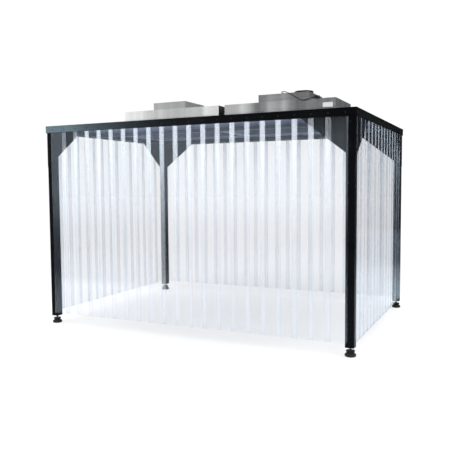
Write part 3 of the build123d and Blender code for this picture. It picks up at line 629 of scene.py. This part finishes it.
# %% Lathe
def lathe(profile, steps, trim=None):
    """A round shape from (radius, level) points, trimmed by a function of angle and level."""
    mesh = bmesh.new()
    line = [mesh.verts.new((radius, 0, level)) for radius, level in profile]
    edges = [mesh.edges.new(pair) for pair in zip(line, line[1:])]
    bmesh.ops.spin(mesh, geom=line + edges, axis=(0, 0, 1), cent=(0, 0, 0), angle=tau,
                   steps=steps, use_merge=True)
    bmesh.ops.remove_doubles(mesh, verts=mesh.verts, dist=1e-6)
    bmesh.ops.recalc_face_normals(mesh, faces=mesh.faces)
    for vert in mesh.verts if trim else ():
        radius = vert.co.xy.length
        if radius:
            vert.co.xy *= min(radius, trim(atan2(vert.co.y, vert.co.x), vert.co.z)) / radius
    return mesh


def hexagon(flats, chamfered=()):
    """Trims to a hexagon with chamfered ends at the given levels."""
    chamfer_start, chamfer_slope = flats / 2 * 1.02, 1.7

    def trim(angle, level):
        side = flats / 2 / cos((angle + pi / 6) % (pi / 3) - pi / 6)
        return min([side] + [chamfer_start + abs(level - end) * chamfer_slope for end in chamfered])
    return trim


def into(whole, part, matrix):
    """Puts a part into a larger mesh at its place."""
    bmesh.ops.transform(part, matrix=matrix, verts=part.verts)
    data = bpy.data.meshes.new("part")
    part.to_mesh(data)
    part.free()
    whole.from_mesh(data)
    bpy.data.meshes.remove(data)


def corner_of(node):
    """The middle of a node in plan, on the floor."""
    low, high = box_of(node)
    return Vector(((low.x + high.x) / 2, (low.y + high.y) / 2, 0))


# %% [markdown]
# ### Levelling feet
#
# A foot is a rounded nylon pad under a hand grip with ten hollows, and a threaded stem
# of 16 mm that runs up into the post. Its thread is one small tooth, spun upwards.

# %% One foot
pad_line = [(0, 0), (0.0375, 0), (0.0405, 0.0005), (0.0445, 0.0022), (0.0475, 0.0052),
            (0.0490, 0.0100), (0.0490, 0.0190), (0.0484, 0.0208), (0.0470, 0.0222),
            (0.0262, 0.0405), (0.0238, 0.0422), (0.0230, 0.0440)]
grip_line = [(0.0225, 0.0430), (0.0345, 0.0430), (0.0372, 0.0434), (0.0386, 0.0448),
             (0.0390, 0.0465), (0.0390, 0.0515), (0.0386, 0.0532), (0.0372, 0.0546),
             (0.0345, 0.0550), (0.0110, 0.0550), (0.0100, 0.0545)]
stem_line = [(0.0078, 0.0540), (0.0070, 0.0545), (0.0070, 0.1400), (0.0064, 0.1410), (0, 0.1410)]
grip_radius, hollow_depth, hollows = 0.0390, 0.0075, 10
thread_tooth = [(0.0069, 0, 0.0548), (0.0080, 0, 0.0558), (0.0069, 0, 0.0568)]
thread_pitch, thread_turns, thread_steps = 0.002, 42, 16


def hollowed(angle, level):
    """Trims a grip with a hollow for each finger."""
    return grip_radius - hollow_depth * max(0, cos(hollows * angle)) ** 2


def make_thread():
    """A screw thread along the stem: a tooth spun about Z and lifted as it turns."""
    mesh = bmesh.new()
    tooth = [mesh.verts.new(place) for place in thread_tooth]
    edges = [mesh.edges.new(pair) for pair in zip(tooth, tooth[1:])]
    bmesh.ops.spin(mesh, geom=tooth + edges, axis=(0, 0, 1), cent=(0, 0, 0), angle=tau * thread_turns,
                   steps=thread_turns * thread_steps, dvec=(0, 0, thread_pitch / thread_steps))
    bmesh.ops.remove_doubles(mesh, verts=mesh.verts, dist=1e-6)
    bmesh.ops.recalc_face_normals(mesh, faces=mesh.faces)
    return mesh


# %% Four feet
for name in [name for name in starting("foot_") if name != "foot_lock_nuts"]:
    place = Matrix.Translation(corner_of(name))
    foot = bmesh.new()
    into(foot, lathe(pad_line, 48), place)
    into(foot, lathe(grip_line, 10 * hollows, hollowed), place)
    into(foot, lathe(stem_line, 16), place)
    into(foot, make_thread(), place)
    make_piece(name + "_moulding", foot, foot_nylon, "foot_nylon", name, name)

# %% Lock nuts
nut_line = [(0.0082, 0.0710), (0.0130, 0.0710), (0.0170, 0.0725), (0.0175, 0.0768), (0.0205, 0.0772),
            (0.0226, 0.0778), (0.0230, 0.0788), (0.0230, 0.0808), (0.0082, 0.0808)]
nut_flats, nut_bottom, flange_bottom = 0.030, 0.0710, 0.077


def nut_trim(angle, level):
    """Trims a nut to its hexagon below its round flange."""
    return hexagon(nut_flats, (nut_bottom,))(angle, level) if level < flange_bottom else 1


lock_nuts = bmesh.new()
for name in starting("post_"):
    into(lock_nuts, lathe(nut_line, 36, nut_trim), Matrix.Translation(corner_of(name)))
make_piece("lock_nuts", lock_nuts, zinc_nuts, "zinc_nuts", "frame", "foot_lock_nuts", smooth=False)

# %% [markdown]
# ### Strip screws
#
# A low button head with a washer and a round socket sits on the beam's web over
# every stud. The heads take their places from the plain ones in the frame.

# %% Heads of the frame
def islands(node):
    """The middle of each separate solid of a node."""
    mesh = bmesh.new()
    mesh.from_mesh(nodes[node].data)
    bmesh.ops.transform(mesh, matrix=nodes[node].matrix_world, verts=mesh.verts)
    bmesh.ops.remove_doubles(mesh, verts=mesh.verts, dist=1e-5)
    left, middles = set(mesh.verts), []
    while left:
        group, edge = set(), {left.pop()}
        while edge:
            group |= edge
            edge = {link.other_vert(vert) for vert in edge for link in vert.link_edges} - group
        left -= group
        low, high = [Vector(map(pick, *(vert.co for vert in group))) for pick in (min, max)]
        middles.append((low + high) / 2)
    mesh.free()
    return middles


# %% Button heads
button_line = [(1, 0), (1, 0.2), (0.86, 0.3), (0.80, 0.62), (0.56, 0.92), (0.38, 1), (0.34, 0.45), (0, 0.4)]


def button(radius, height):
    """A button head on a washer, standing on the origin."""
    return lathe([(radius * wide, height * up) for wide, up in button_line], 12)


strip_screws = bmesh.new()
head_radius, head_height = 0.0058, 0.0026
for middle in islands("strip_cap_nuts"):
    if abs(middle.x) / cad_box[1][0] > abs(middle.y) / cad_box[1][1]:
        outward = Vector((1 if middle.x > 0 else -1, 0, 0))
    else:
        outward = Vector((0, 1 if middle.y > 0 else -1, 0))
    turned = outward.to_track_quat("Z", "Y").to_matrix().to_4x4()
    into(strip_screws, button(head_radius, head_height),
         Matrix.Translation(middle - outward * head_height / 2) @ turned)
make_piece("strip_screws", strip_screws, black_fasteners, "black_fasteners", "frame", "strip_cap_nuts")

# %% [markdown]
# ### On the units
#
# Small screws run along the top rim of each housing and fan box, a bare plate is
# fastened to the front of the right-hand unit, and the fans breathe through a pad of
# wool under a frame of flat bars.

# %% Rim screws
def rim(node, inset, pitch):
    """Evenly spaced places along the top rim of a node."""
    low, high = box_of(node)
    low, high = low + Vector((inset, inset, 0)), high - Vector((inset, inset, 0))
    ring = [(low.x, low.y), (high.x, low.y), (high.x, high.y), (low.x, high.y), (low.x, low.y)]
    for start, end in zip(ring, ring[1:]):
        start, end = Vector((*start, high.z)), Vector((*end, high.z))
        count = round((end - start).length / pitch)
        yield from (start.lerp(end, step / count) for step in range(count))


def covered(place, *over):
    """Whether a place lies under one of some nodes, or right beside it."""
    def holds(node):
        low, high = box_of(node)
        return all(low[axis] - screw_room < place[axis] < high[axis] + screw_room for axis in (0, 1))
    return any(holds(node) for node in over)


screw_radius, screw_height, screw_room = 0.0045, 0.0018, 0.01
case_inset, case_pitch, fan_box_inset, fan_box_pitch = 0.020, 0.15, 0.012, 0.10
lead_parts = {"left": [], "right": ["power_lead", "lead_coil"]}
rim_screws = bmesh.new()
for unit in ("left", "right"):
    over_case = [f"{unit}_fan_box"] + ["power_gland"] * (unit == "right")
    over_fan_box = [f"{unit}_prefilter"] + lead_parts[unit]
    case_rim = rim(f"{unit}_plenum", case_inset, case_pitch)
    fan_box_rim = rim(f"{unit}_fan_box", fan_box_inset, fan_box_pitch)
    places = [place for place in case_rim if not covered(place, *over_case)]
    places += [place for place in fan_box_rim if not covered(place, *over_fan_box)]
    for place in places:
        into(rim_screws, button(screw_radius, screw_height), Matrix.Translation(place))
make_piece("rim_screws", rim_screws, zinc_nuts, "zinc_nuts", "frame")


# %% Bare plate
def soft_edges(mesh, radius, steps=2):
    """Rounds every edge of a mesh."""
    bmesh.ops.bevel(mesh, geom=mesh.edges[:], offset=radius, affect="EDGES", segments=steps,
                    profile=0.5, material=-1)


def block(mesh, middle, size, turned=Matrix()):
    """Adds a block of that size, turned and then put in its place."""
    bmesh.ops.create_cube(mesh, size=1.0, matrix=Matrix.Translation(middle) @ turned
                          @ Matrix.Diagonal((*size, 1)))


plate_middle, plate_size = (1.174, -0.3056, 2.277), (0.103, 0.0012, 0.046)
plate = bmesh.new()
block(plate, plate_middle, plate_size)
soft_edges(plate, 0.0005)
make_piece("bare_plate", plate, grid_paint, "grid_paint", "frame", smooth=False)


# %% Prefilters
flat_share, steps_in_cell = 0.55, 10
cells, bar_width, bar_thickness = 3, 0.010, 0.003


def soft_pad(middle, side, low, high):
    """A square of wool that swells a little in each cell of its frame."""
    mesh = bmesh.new()
    steps = cells * steps_in_cell
    bmesh.ops.create_grid(mesh, x_segments=steps, y_segments=steps, size=side / 2)
    for vert in mesh.verts:
        waves = [sin(cells * pi * (place / side + 0.5)) for place in vert.co.xy]
        swell = abs(waves[0] * waves[1])
        vert.co.z = low + (high - low) * (flat_share + (1 - flat_share) * swell ** 0.5)
    rim_edges = [edge for edge in mesh.edges if edge.is_boundary]
    skirt = bmesh.ops.extrude_edge_only(mesh, edges=rim_edges)["geom"]
    for vert in (v for v in skirt if isinstance(v, bmesh.types.BMVert)):
        vert.co.z = low
    bmesh.ops.translate(mesh, verts=mesh.verts, vec=middle)
    bmesh.ops.recalc_face_normals(mesh, faces=mesh.faces)
    return mesh


for unit in ("left", "right"):
    low, high = box_of(f"{unit}_prefilter")
    side, middle = high.x - low.x, corner_of(f"{unit}_prefilter")
    make_piece(f"{unit}_wool", soft_pad(middle, side - 0.004, low.z, high.z - 0.0012),
               prefilter_pad, "prefilter_pad", "frame", f"{unit}_prefilter")
    bars = bmesh.new()
    bars_middle = Matrix.Translation(middle + Vector((0, 0, high.z - bar_thickness / 2)))
    for step in range(cells + 1):
        across = (side - bar_width) * (step / cells - 0.5)
        for turn, thinner in ((0, 0), (pi / 2, 0.0001)):     # so that no two faces coincide
            turned = bars_middle @ Matrix.Rotation(turn, 4, "Z")
            bmesh.ops.create_cube(bars, size=1.0, matrix=turned @ Matrix.Translation((0, across, 0))
                                  @ Matrix.Diagonal((side, bar_width, bar_thickness - thinner, 1)))
    soft_edges(bars, 0.0008)
    make_piece(f"{unit}_prefilter_bars", bars, grid_paint, "grid_paint", "frame")

# %% [markdown]
# ### On the lead
#
# The lead leaves its gland through a ribbed boot, three ties hold the coil together,
# and the plug in its middle is a rounded moulding with ribs for the fingers.

# %% Boot
rib_line = ((0.0, 1.0), (0.55, 1.0), (0.62, 0.80), (0.93, 0.80))        # share along a rib, width


def ribbed(start, end, length, ribs):
    """Profile of a tapered boot with ribs, from radius start to radius end."""
    line = [(lead_diameter / 2, 0.0)]
    for rib in range(ribs):
        for share, wide in rib_line:
            along = (rib + share) / ribs
            line.append(((start + (end - start) * along) * wide, length * along))
    return line + [(lead_diameter / 2, length)]


boot = lathe(ribbed(0.0085, 0.0062, 0.026, 5), 24)
boot_place = Matrix.Translation(lead_hang[0]) @ Matrix.Rotation(-pi / 2, 4, "Y")
bmesh.ops.transform(boot, matrix=boot_place, verts=boot.verts)
make_piece("lead_boot", boot, lead_rubber, "lead_rubber", "frame")

# %% Coil ties
tie_room, tie_crown, tie_width, tie_thickness = 0.0052, 0.0250, 0.005, 0.0009
tie_turns, tie_steps = (8, 98, 190), 12
side_steps = tie_steps / 3
inner, outer = coil_radii[-1] - tie_room, coil_radii[0] + tie_room
ties = bmesh.new()
for turn in tie_turns:
    tie = bmesh.new()
    bmesh.ops.create_grid(tie, x_segments=1, y_segments=tie_steps, size=1.0)
    for vert in tie.verts:
        step = (vert.co.y + 1) / 2 * tie_steps
        height = tie_crown * min(1.0, step / side_steps, (tie_steps - step) / side_steps)
        along = inner + (outer - inner) * min(1.0, max(0.0, (step - side_steps) / side_steps))
        vert.co = (along, vert.co.x * tie_width / 2, height)
    bmesh.ops.recalc_face_normals(tie, faces=tie.faces)
    bmesh.ops.solidify(tie, geom=tie.faces[:], thickness=-tie_thickness)
    into(ties, tie, Matrix.Translation(coil_middle) @ Matrix.Rotation(radians(turn), 4, "Z"))
coil_ties = make_piece("coil_ties", ties, black_fasteners, "black_fasteners", "frame")

# %% Plug
plug_middle, plug_size = coil_middle + Vector((0, 0, 0.011)), (0.046, 0.030, 0.0215)
rib_size, rib_pitch, first_rib, ribs = (0.0022, 0.0312, 0.012), 0.0045, -0.013, 5
plug = bmesh.new()
block(plug, plug_middle, plug_size)
soft_edges(plug, 0.0055, 4)
for number in range(ribs):
    rib = bmesh.new()
    block(rib, (0, 0, 0), rib_size)
    soft_edges(rib, 0.0006)
    into(plug, rib, Matrix.Translation(plug_middle + Vector((first_rib + rib_pitch * number, 0, 0))))
neck_place = plug_middle + Vector((plug_size[0] / 2 - 0.0005, 0, 0))      # half a millimetre inside
into(plug, lathe(ribbed(0.0080, 0.0062, 0.0070, 2), 24),
     Matrix.Translation(neck_place) @ Matrix.Rotation(pi / 2, 4, "Y"))
lead_end = make_piece("lead_end", plug, plug_plastic, "plug_plastic", "frame", "lead_plug")

# %% [markdown]
# ## Floor
#
# The floor is a plain pale sheet that runs far past the booth. The camera sees it as
# white as the sky, so it shines a little: most close around the booth, less inside it
# and far away, and just enough behind it for no horizon to show through the strips. A
# reflection sees a ring of it that is dark, as the far floor of a room is.

# %% Things of the stage
def set_on_stage(name, mesh, finish):
    """Turns a bmesh into a thing that isn't part of the booth."""
    data = bpy.data.meshes.new(name)
    mesh.to_mesh(data)
    mesh.free()
    data.materials.append(finish.material)
    thing = bpy.data.objects.new(name, data)
    bpy.context.scene.collection.objects.link(thing)
    return thing


# %% Floor
floor_reach = 60.0
floor_finish = Finish("floor", roughness=0.9, specular_ior_level=0.0, emission_color=(1.0, 1.0, 1.0))
away = floor_finish.add("ShaderNodeVectorMath", {"operation": "LENGTH"},
                        {0: floor_finish.place()}, out="Value")
sideways, backwards, _ = floor_finish.axes()


def by_distance(*values):
    """A value that changes with the distance from the booth, from (metres, value) pairs."""
    return floor_finish.ramp(floor_finish.span(away, 0.0, floor_reach),
                             [(metres / floor_reach, value) for metres, value in values])


darkness = by_distance((2.52, 0.0), (6.0, 0.9), (12.0, 0.9), (36.0, 0.25))
open_shine = by_distance((0.0, 0.36), (1.14, 0.40), (1.98, 0.50), (3.0, 0.50), (9.0, 0.30))
behind_booth = (floor_finish.span(backwards, 0.9, 1.5)
                * floor_finish.span(sideways, 1.2, 1.6, 1.0, 0.0))
shine = floor_finish.blend(behind_booth, open_shine, (0.29, 0.29, 0.29))
seen = floor_finish.add("ShaderNodeLightPath", out="Is Camera Ray")
mirrored = floor_finish.add("ShaderNodeLightPath", out="Is Glossy Ray")
pale = floor_finish.blend(seen, (0.80, 0.80, 0.805), (0.50, 0.50, 0.505))
floor_finish.set(base_color=floor_finish.blend(darkness * mirrored, pale, (0.05, 0.06, 0.08)),
                 emission_strength=seen * shine)
floor_mesh = bmesh.new()
bmesh.ops.create_grid(floor_mesh, x_segments=1, y_segments=1, size=floor_reach)
set_on_stage("floor", floor_mesh, floor_finish)
print("floor", 2 * floor_reach, "m wide")

# %% [markdown]
# ### Dark cards
#
# Bare steel and black paint look like what they reflect, and under an even white sky
# they would be pale. Three dark cards give them something dark: two behind the camera
# and one behind the booth. The camera doesn't see them, and diffuse rays pass them, so
# they cast only a faint shadow.

# %% Dark cards
def dark_card(name, middle, width, height):
    """An upright dark card that only reflections meet."""
    mesh = bmesh.new()
    upright = Matrix.Translation(middle) @ Matrix.Rotation(pi / 2, 4, "X")
    bmesh.ops.create_grid(mesh, x_segments=1, y_segments=1, size=0.5,
                          matrix=upright @ Matrix.Diagonal((width, height, 1, 1)))
    card = set_on_stage(name, mesh, card_cloth)
    card.visible_camera = card.visible_diffuse = False
    print(name, width, "by", height, "m")


card_cloth = Finish("card_cloth", base_color=(0.02, 0.022, 0.026), roughness=0.9, specular_ior_level=0.0)
dark_card("card_behind_camera", (0.85, -14.0, 3.0), 5.1, 6.0)
dark_card("card_beside_it", (-4.0, -14.0, 4.7), 4.6, 2.6)
dark_card("card_behind_booth", (4.6, 13.0, 2.6), 8.0, 5.2)

# %% [markdown]
# ### Sky and lamps
#
# The sky is plain white: a touch brighter where the camera sees it, so that it stays
# white behind the clear strips, and half as strong again where it lights the booth. A
# weak key lamp gives soft shadows. Two lamps light single pieces, which light linking
# allows: a glint on the left end of the front beam, and a fill from the front that
# makes the milky bands of the strips glow.

# %% Sky
sky_seen, sky_mirrored, sky_lighting = 1.02, 1.0, 1.5
world = bpy.data.worlds.new("sky")
bpy.context.scene.world = world
world.use_nodes = True
sky = Network(world.node_tree)
seen = (sky.add("ShaderNodeLightPath", out="Is Camera Ray")
        + sky.add("ShaderNodeLightPath", out="Is Transmission Ray"))
mirrored = sky.add("ShaderNodeLightPath", out="Is Glossy Ray")
background = world.node_tree.nodes["Background"].inputs
sky.connect(background["Strength"],
            seen * sky_seen + mirrored * sky_mirrored + (1 - seen - mirrored) * sky_lighting)
sky.connect(background["Color"], (1.0, 1.0, 1.0))
print("sky with", len(world.node_tree.nodes), "nodes")


# %% Lamps
def lamp(name, place, target, size, power):
    """A flat lamp of that width and height, pointing at a target."""
    light = bpy.data.lights.new(name, "AREA")
    light.shape, light.size, light.size_y, light.energy = "RECTANGLE", *size, power
    piece = bpy.data.objects.new(name, light)
    piece.location = place
    piece.rotation_euler = (Vector(target) - Vector(place)).to_track_quat("-Z", "Y").to_euler()
    bpy.context.scene.collection.objects.link(piece)
    print(name, power, "W")
    return piece


def light_only(piece, *lit):
    """Lets a lamp light a few things and nothing else."""
    piece.light_linking.receiver_collection = bpy.data.collections.new(piece.name + "_lights")
    for thing in lit:
        piece.light_linking.receiver_collection.objects.link(thing)


lamp("key", (-3.5, -5.0, 7.5), (0, 0, 1.0), (3.5, 3.5), 60)
glint = lamp("glint", (-6.4, -6.2, 2.72), (-1.6, -1.19, 2.09), (1.7, 1.6), 1100)
glint.data.color = (0.60, 0.85, 1.0)
glint.visible_diffuse = False
light_only(glint, nodes["beam_front"])
fill = lamp("fill", (-2.0, -9.0, 3.2), (0, 0, 1.2), (5.0, 3.0), 760)
fill.visible_glossy = False
light_only(fill, *[bpy.data.objects[f"curtain_{wall}"] for wall in wall_turns])

# %% [markdown]
# ## Last step
#
# The view layer is brought up to date.

# %% Sizes
bpy.context.view_layer.update()
